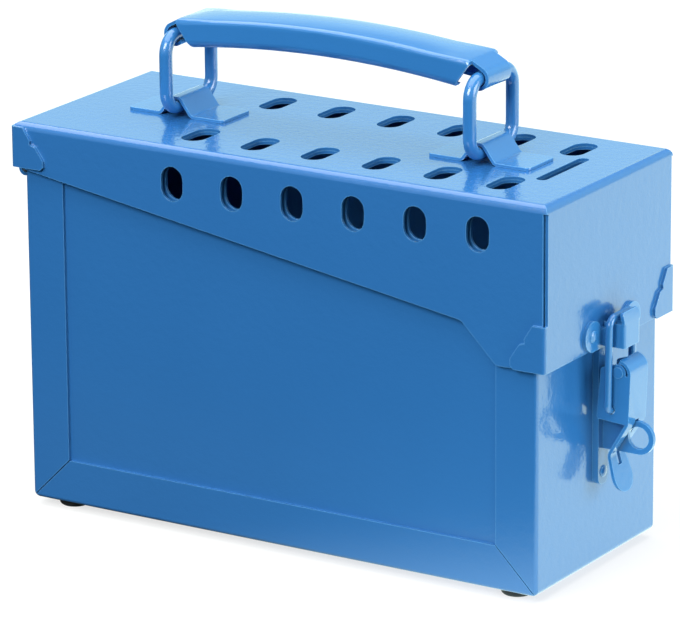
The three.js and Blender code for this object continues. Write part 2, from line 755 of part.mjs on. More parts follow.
function gripMouth() {
  const half = gripWidth / 2 - gripSheet - gripLip;
  const bottom = gripTop - gripHeight;
  return rectangle(-gripShift - half, bottom - overrun, -gripShift + half, bottom + gripSheet + overrun);
}

// Bar along X that sinks as the grip's crown does: its sections stand evenly between the
// necks, with one more at each end
function archedBar(section, half) {
  const steps = gripBendSteps + 2;
  const geometry = prism(section, 0, steps, drawnOnYZ, steps);
  const places = geometry.attributes.position;
  for (let index = 0; index < places.count; index += 1) {
    const station = Math.round(places.getX(index));
    const even = gripNeckStart * (2 * (station - 1) / gripBendSteps - 1);
    const x = station === 0 ? -half : station === steps ? half : even;
    places.setX(index, x);
    const lift = crownLift(x, places.getY(index), places.getZ(index));
    places.setZ(index, places.getZ(index) + lift - crownSink(x));
  }
  return toSolid(geometry);
}

// How far the crown lies below its middle: a shallow arch, then the straight necks
function crownSink(x) {
  const beyond = Math.max(Math.abs(x) - gripNeckStart, 0);
  const arched = Math.abs(x) - beyond;
  const arch = gripArch * (arched / gripFlangeEnd) ** 2;
  return beyond > 0 ? arch + beyond / Math.tan(neckTouch()) : arch;
}

// How far a place on the channel is raised towards the necks, where the dome of the crown
// turns flat
function crownLift(x, y, z) {
  const fall = gripCrownDome * (2 * (y + gripShift) / gripWidth) ** 2;
  const shoulder = gripTop - gripCrownDome - gripEdgeRadius;
  const flatShare = THREE.MathUtils.clamp(1 - (gripNeckStart - Math.abs(x)) / gripFlatLength, 0, 1);
  const crownShare = THREE.MathUtils.clamp((z - shoulder) / gripEdgeRadius, 0, 1);
  return fall * flatShare * crownShare;
}

// Angle round a ring's upper bar at which the neck's outer face meets the curl
function neckTouch() {
  const start = new THREE.Vector2(gripNeckStart, gripTop - crownSink(gripNeckStart));
  return touchAngle(start, new THREE.Vector2(ringX, ringTopZ), gripCurlRadius, -1);
}

// Slanting cuts, round at the foot, at the ends of the side flanges; the cut's floor runs
// just below the flanges
function rakedEnds() {
  const foot = gripFlangeEnd - gripFlangeRake;
  const before = foot - gripFlangeCornerRadius;
  const flangeBottom = (x) => gripTop - gripHeight - crownSink(x) - weldGap;
  const crownUnderside = gripTop - crownSink(gripFlangeEnd) - gripSheet;
  const low = flangeBottom(gripFlangeEnd) - overrun;
  const end = gripFlangeEnd + overrun;
  return [-1, 1].map((side) => alongY(outline([
    [side * end, low], [side * before, low], [side * before, flangeBottom(before)],
    [side * foot, flangeBottom(foot), gripFlangeCornerRadius],
    [side * gripFlangeEnd, crownUnderside], [side * end, crownUnderside],
  ]), -gripWidth, gripWidth));
}

// Neck and curl of the grip at one ring: it reaches a little past the straight part of
// the ring's upper bar at the front and stops short of it at the rear
function gripEnd(side) {
  const bar = new THREE.Vector2(side * ringX, ringTopZ);
  const first = side > 0 ? neckTouch() : Math.PI - neckTouch();
  const wrap = -side * THREE.MathUtils.degToRad(curlWrapDegrees);
  const outer = arcPoints(bar, gripCurlRadius, first, wrap, 3 * arcSteps);
  const inner = arcPoints(bar, gripCurlRadius - gripSheet, first, wrap, 3 * arcSteps).reverse();
  const startZ = gripTop - crownSink(gripNeckStart);
  const start = new THREE.Vector2(side * gripNeckStart, startZ);
  const strip = shapeThrough([start, ...outer, ...inner, new THREE.Vector2(start.x, startZ - gripSheet)]);
  return alongY(strip, -straightBarHalf - gripNeckPastBar, straightBarHalf - gripNeckShortOfBar);
}

// Latch base: a shallow pressed plate on the right end wall with two ears that carry the
// lever's pin
function latchBase() {
  const half = latchBaseHalf;
  const x0 = bodyHalfWidth;
  const top = downFromLid(latchBaseTop);
  const bottom = downFromLid(latchBaseBottom);
  const endRadius = half - runningGap;
  const plateOutline = outline([[-half, top, latchSheet], [-half, bottom, endRadius],
    [half, bottom, endRadius], [half, top, latchSheet]]);
  const plate = alongX(plateOutline, x0, latchBaseFace);
  const rim = half - latchSheet;
  const hollow = alongX(rectangle(-rim, bottom + half, rim, top - latchSheet),
    x0 - overrun, latchBaseFace - latchSheet);
  const pivot = new THREE.Vector2(pivotX, pivotZ);
  const armBottom = new THREE.Vector2(x0, downFromLid(earArmBottom));
  const armTop = new THREE.Vector2(x0, downFromLid(earArmTop));
  const arm = outline([armBottom.toArray(), touchPoint(armBottom, pivot, earRadius, 1),
    touchPoint(armTop, pivot, earRadius, -1), armTop.toArray()]);
  const earInner = half - latchSheet;
  const ear = join(alongY(arm, -half, -earInner), barY(pivotX, pivotZ, earRadius, -half, -earInner));
  const bore = barY(pivotX, pivotZ, pivotPinRadius + runningGap, -leverWidth, leverWidth);
  const holes = latchRivetHeights.map((z) => barX(0, z, rivetShankRadius + runningGap,
    x0 - overrun, latchBaseFace + overrun));
  return cut(join(cut(plate, hollow), ear, mirrorY(ear)), bore, ...holes);
}

// Staple for a padlock: a ring on a neck, standing out through the lever's tail
function latchStaple() {
  const centre = new THREE.Vector2(stapleX, stapleZ);
  const root = new THREE.Vector2(latchBaseFace, stapleZ + stapleNeckRise);
  const bottom = stapleZ - stapleRingRadius;
  const half = staplePlate / 2;
  const neck = alongY(outline([[latchBaseFace, bottom], [stapleX, bottom], [stapleX, stapleZ],
    touchPoint(root, centre, stapleRingRadius, -1), root.toArray()]), -half, half);
  const ring = barY(stapleX, stapleZ, stapleRingRadius, -half, half, 6 * arcSteps);
  const hole = barY(stapleX, stapleZ, stapleHoleRadius, -staplePlate, staplePlate, 6 * arcSteps);
  return cut(join(neck, ring), hole);
}

// Rivet along X from an outer face to an inner face: a domed head outside, a flat one inside
function rivet(y, z, outerFace, innerFace) {
  const dome = arcPoints(new THREE.Vector2(), 1, 0, Math.PI / 2, arcSteps / 2);
  const profile = [
    [0, innerFace - rivetHead], [rivetHeadRadius, innerFace - rivetHead], [rivetHeadRadius, innerFace],
    [rivetShankRadius, innerFace], [rivetShankRadius, outerFace],
    ...dome.slice(0, -1).map((share) => [rivetHeadRadius * share.x, outerFace + rivetHead * share.y]),
    [0, outerFace + rivetHead],
  ].map(([radius, x]) => new THREE.Vector2(radius, x));
  const geometry = new THREE.LatheGeometry(profile, 3 * arcSteps);
  geometry.rotateZ(-Math.PI / 2);
  geometry.translate(0, y, z);
  return toSolid(geometry);
}

function latchPivotPin() {
  const half = leverWidth / 2;
  const shank = barY(pivotX, pivotZ, pivotPinRadius, -half - pivotHead, half + pivotHead);
  const head = barY(pivotX, pivotZ, pivotHeadRadius, -half - pivotHead, -half);
  return join(shank, head, mirrorY(head));
}

// Lever: a channel with two cheeks, a rolled top, a slotted tail and a finger plate
function latchLever() {
  const half = leverWidth / 2;
  const plan = alongX(leverPlan(), leverBackX, leverTopX + overrun);
  const face = alongY(leverSpine(), -half, half).intersect(plan);
  const cheek = leverCheek(half);
  const bore = barY(pivotX, pivotZ, pivotPinRadius + runningGap, -leverWidth, leverWidth);
  const bailBore = barY(bailPivotX, bailPivotZ, bailWireRadius + runningGap, -leverWidth, leverWidth);
  const slotHalf = staplePlate / 2 + stapleSlotGap;
  const slot = block(tailBendX - 2 * latchSheet, leverTopX + overrun, -slotHalf, slotHalf,
    tailBendZ - slotBelowBend, stapleZ + stapleRingRadius + stapleSlotGap);
  return cut(join(face, cheek, mirrorY(cheek)), bore, bailBore, slot);
}

// Side view of the lever's sheet: finger, tail, face and rolled top
function leverSpine() {
  const roll = arcPoints(new THREE.Vector2(rollCentreX, rollCentreZ), rollRadius, 0,
    THREE.MathUtils.degToRad(rollDegrees), 2 * arcSteps);
  return bentStrap([
    [fingerTipX, fingerTipZ], [tailBendX, tailBendZ, tailBendRadius], [leverBottomX, leverBottomZ],
    ...roll.map((point) => point.toArray()),
  ], latchSheet);
}

// Cheek: it stops below the roll and rises in a lobe round the pivot pin
function leverCheek(half) {
  const inWeb = latchSheet / 2;
  const notchZ = rollCentreZ - cheekNotch;
  const pivot = new THREE.Vector2(pivotX, pivotZ);
  const shoulder = new THREE.Vector2(leverShoulderX, leverShoulderZ);
  const side = outline([
    [leverBackX, leverBottomZ + leverBackRise, leverCornerRadius], [leverBottomX - inWeb, leverBottomZ],
    [leverTopX - inWeb, notchZ], [pivotX, notchZ], touchPoint(shoulder, pivot, cheekLobeRadius, -1),
    [leverShoulderX, leverShoulderZ, leverCornerRadius],
  ]);
  const lobe = barY(pivotX, pivotZ, cheekLobeRadius, -half, -half + latchSheet);
  return join(alongY(side, -half, -half + latchSheet), lobe);
}

// Front view of the lever: full width down to its face's lower edge, then a waist and the
// round finger plate
function leverPlan() {
  const above = rollCentreZ + rollRadius + overrun;
  const rightSide = [
    [fingerWidth / 2, fingerTipZ, fingerTipRadius], [fingerWidth / 2, fingerTipZ + fingerWidth / 2],
    [tailWaist / 2, tailBendZ, tailWaist], [leverWidth / 2, leverBottomZ], [leverWidth / 2, above],
  ];
  const leftSide = rightSide.map(([y, z, radius]) => [-y, z, radius]).reverse();
  return outline([...rightSide, ...leftSide]);
}

// Bail: one bent wire from a hole in the left cheek over the keeper to the right cheek
function latchBail() {
  const inner = leverWidth / 2 - latchSheet - runningGap;
  const half = bailHalfWidth;
  const path = roundedPath([[-inner, bailPivotZ], [-half, bailPivotZ, bailFootRadius],
    [-half, bailBarZ, bailCornerRadius], [half, bailBarZ, bailCornerRadius],
    [half, bailPivotZ, bailFootRadius], [inner, bailPivotZ]], false);
  const lean = Math.atan2(bailBarX - bailPivotX, bailBarZ - bailPivotZ);
  const flat = wire(path, bailWireRadius, 0, false).translate([0, 0, -bailPivotZ]);
  return flat.rotate([0, THREE.MathUtils.radToDeg(lean), 0]).translate([bailPivotX, 0, bailPivotZ]);
}

// Keeper: a hat-shaped pressing with two riveted ears; the bail rests on its side walls
// behind a raised lip that leans back over it
function keeper() {
  const x0 = lidRight;
  const half = keeperWidth / 2;
  const low = lidBottomRight;
  const plateFace = x0 + keeperSheet;
  const ears = [-1, 1].map((side) => barX(side * keeperEarSpacing / 2, keeperEarZ, keeperEarRadius,
    x0, plateFace, 5 * arcSteps));
  const bridge = alongX(rectangle(-keeperEarSpacing / 2, low, keeperEarSpacing / 2,
    keeperEarZ + keeperBridgeAboveEar), x0, plateFace);
  const insideHalf = half - keeperSheet;
  const opening = alongX(rectangle(-insideHalf, low - overrun, insideHalf, keeperSeatZ + overrun),
    x0 - overrun, plateFace + overrun);
  const front = x0 + keeperDepth;
  const hat = alongZ(rectangle(x0, -half, front, half, keeperSheet), low, keeperSeatZ);
  const hollow = alongZ(rectangle(x0 - overrun, -insideHalf, front - keeperSheet, insideHalf),
    low - overrun, keeperSeatZ + overrun);
  const foldZ = keeperSeatZ + keeperLipFoot;
  const lipTop = foldZ + keeperLipHeight;
  const lipSpine = [[front, low + overrun], [front, foldZ], [front - keeperLipLean, lipTop]];
  const lipSide = alongY(bentStrap(lipSpine, keeperSheet), -half, half);
  const lipFront = alongX(outline([
    [-insideHalf, low], [insideHalf, low], [insideHalf, keeperSeatZ], [half, keeperSeatZ],
    [half, lipTop, keeperLipCornerRadius], [-half, lipTop, keeperLipCornerRadius],
    [-half, keeperSeatZ], [-insideHalf, keeperSeatZ],
  ]), x0, front + overrun);
  const lip = lipSide.intersect(lipFront);
  const holes = [-1, 1].map((side) => barX(side * keeperEarSpacing / 2, keeperEarZ,
    rivetShankRadius + runningGap, x0 - overrun, plateFace + overrun));
  const base = cut(join(bridge, ...ears), opening);
  return cut(join(base, cut(hat, hollow), lip), ...holes);
}

// Finishes
const bluePaint = { color: 0x3f86c6, roughness: 0.22, metalness: 0 };
const zincPin = { color: 0x5b86ad, roughness: 0.35, metalness: 0.4 };
const blackRubber = { color: 0x14161c, roughness: 0.8, metalness: 0 };

const box = new THREE.Group();

function addPiece(name, solid, finish) {
  const mesh = new THREE.Mesh(toGeometry(solid), new THREE.MeshStandardMaterial(finish));
  mesh.name = name;
  box.add(mesh);
}

const footNames = ['foot_front_left', 'foot_front_right', 'foot_rear_left', 'foot_rear_right'];
const latchRivetNames = ['latch_rivet_lower', 'latch_rivet_upper'];

addPiece('body_shell', bodyShell(), bluePaint);
addPiece('front_panel', slottedPanel(-1), bluePaint);
addPiece('rear_panel', slottedPanel(1), bluePaint);
footPlaces().forEach(([x, y], index) => addPiece(footNames[index], rubberFoot(x, y), blackRubber));
addPiece('hinge_leaf_body', hingeLeafWithKnuckles(false), bluePaint);
addPiece('hinge_leaf_lid', hingeLeafWithKnuckles(true), bluePaint);
addPiece('hinge_pin', hingePin(), zincPin);
addPiece('latch_base', latchBase(), bluePaint);
addPiece('latch_staple', latchStaple(), bluePaint);
latchRivetHeights.forEach((z, index) => {
  addPiece(latchRivetNames[index], rivet(0, z, latchBaseFace, bodyHalfWidth - sheet), bluePaint);
});
addPiece('latch_pivot_pin', latchPivotPin(), bluePaint);
addPiece('latch_lever', latchLever(), bluePaint);
addPiece('latch_bail', latchBail(), bluePaint);
addPiece('lid_shell', lidShell(), bluePaint);
addPiece('lid_liner', lidLiner(), bluePaint);
addPiece('keeper', keeper(), bluePaint);
[[-1, 'front'], [1, 'rear']].forEach(([side, name]) => {
  const y = side * keeperEarSpacing / 2;
  const keeperRivet = rivet(y, keeperEarZ, lidRight + keeperSheet, lidRight - sheet);
  addPiece(`keeper_rivet_${name}`, keeperRivet, bluePaint);
});
[[-ringX, 'left'], [ringX, 'right']].forEach(([x, name]) => {
  addPiece(`handle_clip_${name}`, handleClip(x), bluePaint);
  addPiece(`handle_ring_${name}`, handleRing(x), bluePaint);
});
addPiece('handle_grip', handleGrip(), bluePaint);

// The frame's origin lies midway between the hinge and the tip of the staple
box.position.x = -(hingeAxisX - knuckleRadius + stapleX + stapleRingRadius) / 2;

export default box;
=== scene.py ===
"""Group lockout box: looks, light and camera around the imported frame."""

import json
import math

import bmesh
import bpy
from mathutils import Matrix, Vector


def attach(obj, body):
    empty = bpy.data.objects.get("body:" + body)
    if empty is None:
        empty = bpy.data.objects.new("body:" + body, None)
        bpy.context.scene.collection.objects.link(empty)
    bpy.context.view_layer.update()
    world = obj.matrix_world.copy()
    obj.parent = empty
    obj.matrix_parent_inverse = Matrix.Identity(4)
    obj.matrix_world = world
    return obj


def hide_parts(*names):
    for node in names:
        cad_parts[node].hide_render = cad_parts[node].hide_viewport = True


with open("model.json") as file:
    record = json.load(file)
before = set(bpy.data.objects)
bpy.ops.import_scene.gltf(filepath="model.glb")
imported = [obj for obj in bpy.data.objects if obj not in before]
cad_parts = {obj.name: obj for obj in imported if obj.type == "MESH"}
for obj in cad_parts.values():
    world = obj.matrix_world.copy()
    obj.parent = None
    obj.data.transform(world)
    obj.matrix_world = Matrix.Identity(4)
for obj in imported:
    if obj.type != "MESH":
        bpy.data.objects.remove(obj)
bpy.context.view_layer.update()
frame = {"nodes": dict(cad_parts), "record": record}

MM = 0.001
WHITE = (1, 1, 1, 1)

# Camera, as the photograph was taken
CAMERA_AZIMUTH = 32.2014
CAMERA_ELEVATION = 17.0747
CAMERA_ROLL = -0.4573
CAMERA_DISTANCE = 1976.35 * MM
CAMERA_LENS = 278.06
CAMERA_AIM = Vector((-19.976, 17.975, 71.563)) * MM
CAMERA_REACH = 50

# Softened sheet edges
WELD = 0.002 * MM
FLAT_ENOUGH = math.radians(0.4)
CREASE = math.radians(32)
SOFT_EDGE_STEPS = 2
BOX_EDGE = 0.3 * MM
LID_EDGE = 0.5 * MM
LID_EDGE_STEPS = 3
FITTING_EDGE = 0.2 * MM
PIN_EDGE = 0.15 * MM
FOOT_EDGE = 0.3 * MM

# Blue paint: the film itself; on rounded edges a lighter blue, a thinner film with a painted highlight;
# palest at a sharp turn, a painted highlight there too
BOX_BLUE = (0.027, 0.154, 0.425, 1)
BOX_EDGE_FILM_AND_HIGHLIGHT_BLUE = (0.13, 0.38, 0.70, 1)
# Fittings: the box's blue made lighter, painted light for the brighter light the rounded fittings catch
FITTING_BLUE_WITH_PAINTED_LIGHT = (0.032, 0.186, 0.480, 1)
FITTING_EDGE_FILM_AND_HIGHLIGHT_BLUE = (0.14, 0.40, 0.72, 1)
BOX_THIN_FILM_AND_HIGHLIGHT_BLUE = (0.060, 0.250, 0.560, 1)
FITTING_THIN_FILM_AND_HIGHLIGHT_BLUE = (0.055, 0.245, 0.560, 1)
THIN_FILM_PAINTED_HIGHLIGHT_BLUE = (0.16, 0.42, 0.74, 1)
BOX_ROUGHNESS = 0.22
FITTING_ROUGHNESS = 0.20
THIN_ROUGHNESS = 0.18
PAINT_IOR = 1.5
GLOSS_WEIGHT = 0.9
GLOSS_ROUGHNESS = 0.045

# Film tone: cloudy, with a painted highlight over a thinner film where it turns an edge
CLOUDS_PER_METRE = 22
CLOUD_DETAIL = 3
CLOUD_AMOUNT = 0.06
ROUGHNESS_SPREAD = 0.12
PALE_WIDTH = 0.6 * MM
PALE_AMOUNT = 0.7
PALE_SAMPLES = 4
PALEST_TURN = 0.8

# Orange peel
BOX_WAVE = 3.0 * MM
FITTING_WAVE = 2.2 * MM
BOX_WAVE_STRENGTH = 0.20
FINE_WAVE_STRENGTH = 0.10
WAVE_DETAIL = 1.5
WAVE_ROUGHNESS = 0.45
WAVE_HEIGHT = 0.4 * MM
PIMPLES_PER_WAVE = 3.7
PIMPLE_SOFTNESS = 0.8
PIMPLE_STRENGTH = 0.25
PIMPLE_HEIGHT = 0.1 * MM

# Bare steel of the hinge pin
STEEL_GRAINS_PER_METRE = 900
STEEL_GRAIN_DETAIL = 2
STEEL_DARK = (0.33, 0.36, 0.40, 1)
STEEL_LIGHT = (0.52, 0.55, 0.58, 1)
STEEL_SMOOTHEST = 0.22
STEEL_ROUGHEST = 0.42
STEEL_METALLIC = 0.9

# Black rubber of the feet
RUBBER_GRAINS_PER_METRE = 1500
RUBBER_GRAIN_DETAIL = 3
RUBBER_RELIEF = 0.1 * MM
RUBBER_RELIEF_STRENGTH = 0.4
DUST_PER_METRE = 160
DUST_DETAIL = 4
RUBBER_DARK = (0.006, 0.007, 0.010, 1)
RUBBER_DUSTY = (0.022, 0.024, 0.032, 1)
RUBBER_ROUGHNESS = 0.62

# Floor, in metres: bright beside and behind the box, dim in front of it
FLOOR_HALF = 12
FLOOR_TINT = (0.80, 1.0, 0.90)
FLOOR_DIM = 0.04
FLOOR_BRIGHT = 0.95
BRIGHT_FLOOR_SIDE = (0.6, 0.8, 0.0)
SIDE_SHADE_START = -0.085
SIDE_SHADE_END = 0.045
REARWARD = (0.0, 1.0, 0.0)
REAR_SHADE_START = -0.24
REAR_SHADE_END = -0.10
BOUNCE_STRENGTH = 1.75
BOUNCE_SHARE = 0.8
PAPER_WHITE = (0.9, 0.9, 0.9, 1)
PAPER_GLOW_SHARE = 0.72

# Room: its bright side lies low behind the box and a little to its right
BRIGHT_SIDE = (0.35, 0.9, 0.0)
BEHIND_START = -0.2
BEHIND_END = 0.6
SKYWARD = (0.0, 0.0, 1.0)
LOW_START = 0.34
LOW_END = 0.62
DIM_TINT = (0.82, 1.0, 0.96, 1)
BRIGHT_TINT = (0.66, 1.0, 1.06, 1)
DIM_LEVEL = 0.35
BRIGHT_LEVEL = 0.90

# Lamps: name, place, aim and size in metres, power in watts
LAMPS = (
    ("top_softbox", (-0.35, 0.1, 1.7), (-0.35, 0.1, 0.1), (2.6, 2.2), 44),
    ("right_softbox", (1.9, 0.3, 0.6), (0, 0, 0.08), (1.2, 1.0), 20),
    ("front_softbox", (-0.12, -1.6, 1.25), (0, 0, 0.08), (1.2, 0.9), 37),
)

# Nodes by finish
BOX_PIECES = ("body_shell", "front_panel", "rear_panel", "lid_liner", "hinge_leaf_body", "hinge_leaf_lid")
LID_PIECES = ("lid_shell",)
FITTING_PIECES = ("latch_base", "latch_staple", "latch_rivet_lower", "latch_rivet_upper",
                  "latch_pivot_pin", "latch_lever", "latch_bail",
                  "keeper", "keeper_rivet_front", "keeper_rivet_rear",
                  "handle_clip_left", "handle_clip_right", "handle_ring_left", "handle_ring_right",
                  "handle_grip")
PIN_PIECES = ("hinge_pin",)
FEET = ("foot_front_left", "foot_front_right", "foot_rear_left", "foot_rear_right")

# Socket kinds
FLOAT = "NodeSocketFloat"
COLOUR = "NodeSocketColor"
VECTOR = "NodeSocketVector"


def place_camera():
    data = bpy.data.cameras.new("photo_camera")
    data.lens = CAMERA_LENS
    data.clip_end = CAMERA_REACH
    camera = bpy.data.objects.new("photo_camera", data)
    turn = (Matrix.Rotation(math.radians(CAMERA_AZIMUTH), 4, "Z")
            @ Matrix.Rotation(math.radians(90 - CAMERA_ELEVATION), 4, "X")
            @ Matrix.Rotation(math.radians(CAMERA_ROLL), 4, "Z"))
    back = turn.to_3x3() @ Vector((0, 0, 1))
    camera.matrix_world = Matrix.Translation(CAMERA_AIM + back * CAMERA_DISTANCE) @ turn
    bpy.context.scene.collection.objects.link(camera)
    bpy.context.scene.camera = camera


# Node helpers
def new_material(name):
    material = bpy.data.materials.new(name)
    material.use_nodes = True
    material.node_tree.nodes.clear()
    return material, material.node_tree


def add_node(tree, kind, **settings):
    node = tree.nodes.new(kind)
    for key, value in settings.items():
        setattr(node, key, value)
    return node


def join(tree, source, target):
    tree.links.new(source, target)


def set_inputs(node, **values):
    """Sets sockets by name, with an underscore for each space in the name."""
    for name, value in values.items():
        node.inputs[name.replace("_", " ")].default_value = value


def make_group(name, inputs, outputs):
    tree = bpy.data.node_groups.new(name, "ShaderNodeTree")
    for label, kind, value in inputs:
        socket = tree.interface.new_socket(label, in_out="INPUT", socket_type=kind)
        socket.default_value = value
    for label, kind in outputs:
        tree.interface.new_socket(label, in_out="OUTPUT", socket_type=kind)
    return tree, tree.nodes.new("NodeGroupInput"), tree.nodes.new("NodeGroupOutput")


def object_noise(tree, scale, detail):
    """A noise on Object coordinates, whose scale is spots per metre."""
    where = add_node(tree, "ShaderNodeTexCoord")
    noise = add_node(tree, "ShaderNodeTexNoise")
    set_inputs(noise, Scale=scale, Detail=detail)
    join(tree, where.outputs["Object"], noise.inputs["Vector"])
    return noise


def two_tone(tree, value, dark, light):
    """A colour that runs from dark to light with a value."""
    tint = add_node(tree, "ShaderNodeValToRGB")
    tint.color_ramp.elements[0].color = dark
    tint.color_ramp.elements[1].color = light
    join(tree, value, tint.inputs["Fac"])
    return tint.outputs["Color"]


def side_shade(tree, vector, towards, low, high, start, end):
    """A value that goes from low to high along a direction, between two distances on it."""
    heading = add_node(tree, "ShaderNodeVectorMath", operation="DOT_PRODUCT")
    join(tree, vector, heading.inputs[0])
    heading.inputs[1].default_value = towards
    shade = add_node(tree, "ShaderNodeMapRange", interpolation_type="SMOOTHSTEP")
    set_inputs(shade, From_Min=start, From_Max=end, To_Min=low, To_Max=high)
    join(tree, heading.outputs["Value"], shade.inputs["Value"])
    return shade.outputs["Result"]


def product(tree, first, second):
    node = add_node(tree, "ShaderNodeMath", operation="MULTIPLY")
    join(tree, first, node.inputs[0])
    join(tree, second, node.inputs[1])
    return node.outputs[0]


def white_to_camera(tree, shader, seen_shader, output_kind):
    """Camera rays meet the second shader, all others the first."""
    ray = add_node(tree, "ShaderNodeLightPath")
    blend = add_node(tree, "ShaderNodeMixShader")
    join(tree, ray.outputs["Is Camera Ray"], blend.inputs["Fac"])
    join(tree, shader, blend.inputs[1])
    join(tree, seen_shader, blend.inputs[2])
    output = add_node(tree, output_kind)
    join(tree, blend.outputs["Shader"], output.inputs["Surface"])


# Finishes
def orange_peel_group():
    """Low waves and fine pimples of sprayed and baked powder, as a normal."""
    tree, inside, outside = make_group(
        "orange_peel",
        [("Wave Length", FLOAT, BOX_WAVE), ("Wave Strength", FLOAT, BOX_WAVE_STRENGTH),
         ("Pimple Strength", FLOAT, PIMPLE_STRENGTH)],
        [("Normal", VECTOR)])
    where = add_node(tree, "ShaderNodeTexCoord")
    frequency = add_node(tree, "ShaderNodeMath", operation="DIVIDE")
    frequency.inputs[0].default_value = 1
    join(tree, inside.outputs["Wave Length"], frequency.inputs[1])
    waves = add_node(tree, "ShaderNodeTexNoise")
    set_inputs(waves, Detail=WAVE_DETAIL, Roughness=WAVE_ROUGHNESS)
    join(tree, where.outputs["Object"], waves.inputs["Vector"])
    join(tree, frequency.outputs[0], waves.inputs["Scale"])
    finer = add_node(tree, "ShaderNodeMath", operation="MULTIPLY")
    finer.inputs[1].default_value = PIMPLES_PER_WAVE
    join(tree, frequency.outputs[0], finer.inputs[0])
    pimples = add_node(tree, "ShaderNodeTexVoronoi", feature="SMOOTH_F1")
    set_inputs(pimples, Smoothness=PIMPLE_SOFTNESS)
    join(tree, where.outputs["Object"], pimples.inputs["Vector"])
    join(tree, finer.outputs[0], pimples.inputs["Scale"])
    rolling = add_node(tree, "ShaderNodeBump")
    set_inputs(rolling, Distance=WAVE_HEIGHT)
    join(tree, inside.outputs["Wave Strength"], rolling.inputs["Strength"])
    join(tree, waves.outputs["Fac"], rolling.inputs["Height"])
    pimpled = add_node(tree, "ShaderNodeBump")
    set_inputs(pimpled, Distance=PIMPLE_HEIGHT)
    join(tree, inside.outputs["Pimple Strength"], pimpled.inputs["Strength"])
    join(tree, pimples.outputs["Distance"], pimpled.inputs["Height"])
    join(tree, rolling.outputs["Normal"], pimpled.inputs["Normal"])
    join(tree, pimpled.outputs["Normal"], outside.inputs["Normal"])
    return tree


def paint_tone_group():
    """Colour and roughness of a thick paint film: cloudy, and paler where it turns an edge, a painted
    highlight over a thinner film there.
    """
    tree, inside, outside = make_group(
        "paint_tone",
        [("Colour", COLOUR, BOX_BLUE), ("Edge Colour", COLOUR, BOX_EDGE_FILM_AND_HIGHLIGHT_BLUE),
         ("Edge Width", FLOAT, PALE_WIDTH), ("Edge Amount", FLOAT, PALE_AMOUNT),
         ("Cloud Amount", FLOAT, CLOUD_AMOUNT), ("Roughness", FLOAT, BOX_ROUGHNESS)],
        [("Colour", COLOUR), ("Roughness", FLOAT)])
    clouds = object_noise(tree, CLOUDS_PER_METRE, CLOUD_DETAIL)
    centred = add_node(tree, "ShaderNodeMath", operation="SUBTRACT")
    centred.inputs[1].default_value = 0.5
    join(tree, clouds.outputs["Fac"], centred.inputs[0])
    amount = add_node(tree, "ShaderNodeMath", operation="MULTIPLY_ADD")
    amount.inputs[2].default_value = 1
    join(tree, centred.outputs[0], amount.inputs[0])
    join(tree, inside.outputs["Cloud Amount"], amount.inputs[1])
    cloudy = add_node(tree, "ShaderNodeVectorMath", operation="SCALE")
    join(tree, inside.outputs["Colour"], cloudy.inputs[0])
    join(tree, amount.outputs[0], cloudy.inputs["Scale"])

    # Painted highlight over a thinner film: the colour turns paler where the surface turns an edge
    rounded = add_node(tree, "ShaderNodeBevel", samples=PALE_SAMPLES)
    join(tree, inside.outputs["Edge Width"], rounded.inputs["Radius"])
    surface = add_node(tree, "ShaderNodeNewGeometry")
    likeness = add_node(tree, "ShaderNodeVectorMath", operation="DOT_PRODUCT")
    join(tree, rounded.outputs["Normal"], likeness.inputs[0])
    join(tree, surface.outputs["Normal"], likeness.inputs[1])
    edge = add_node(tree, "ShaderNodeMapRange")
    set_inputs(edge, From_Min=1.0, From_Max=PALEST_TURN, To_Min=0.0, To_Max=1.0)
    join(tree, likeness.outputs["Value"], edge.inputs["Value"])
    mixed = add_node(tree, "ShaderNodeMix", data_type="RGBA")
    join(tree, product(tree, edge.outputs["Result"], inside.outputs["Edge Amount"]), mixed.inputs["Factor"])
    join(tree, cloudy.outputs["Vector"], mixed.inputs["A"])
    join(tree, inside.outputs["Edge Colour"], mixed.inputs["B"])
    join(tree, mixed.outputs["Result"], outside.inputs["Colour"])

    rough = add_node(tree, "ShaderNodeMath", operation="MULTIPLY_ADD")
    rough.inputs[1].default_value = ROUGHNESS_SPREAD
    join(tree, centred.outputs[0], rough.inputs[0])
    join(tree, inside.outputs["Roughness"], rough.inputs[2])
    join(tree, rough.outputs[0], outside.inputs["Roughness"])
    return tree


def powder_coat(name, groups, colour, pale_colour, roughness, wave_length, wave_strength):
    """Blue powder paint: a satin film under a clear gloss, both over the orange peel."""
    orange_peel, paint_tone = groups
    material, tree = new_material(name)
    tone = add_node(tree, "ShaderNodeGroup", node_tree=paint_tone)
    set_inputs(tone, Colour=colour, Edge_Colour=pale_colour, Roughness=roughness)
    peel = add_node(tree, "ShaderNodeGroup", node_tree=orange_peel)
    set_inputs(peel, Wave_Length=wave_length, Wave_Strength=wave_strength)
    paint = add_node(tree, "ShaderNodeBsdfPrincipled")
    set_inputs(paint, IOR=PAINT_IOR, Coat_Weight=GLOSS_WEIGHT, Coat_Roughness=GLOSS_ROUGHNESS,
               Coat_IOR=PAINT_IOR)
    join(tree, tone.outputs["Colour"], paint.inputs["Base Color"])
    join(tree, tone.outputs["Roughness"], paint.inputs["Roughness"])
    join(tree, peel.outputs["Normal"], paint.inputs["Normal"])
    join(tree, peel.outputs["Normal"], paint.inputs["Coat Normal"])
    output = add_node(tree, "ShaderNodeOutputMaterial")
    join(tree, paint.outputs["BSDF"], output.inputs["Surface"])
    return material


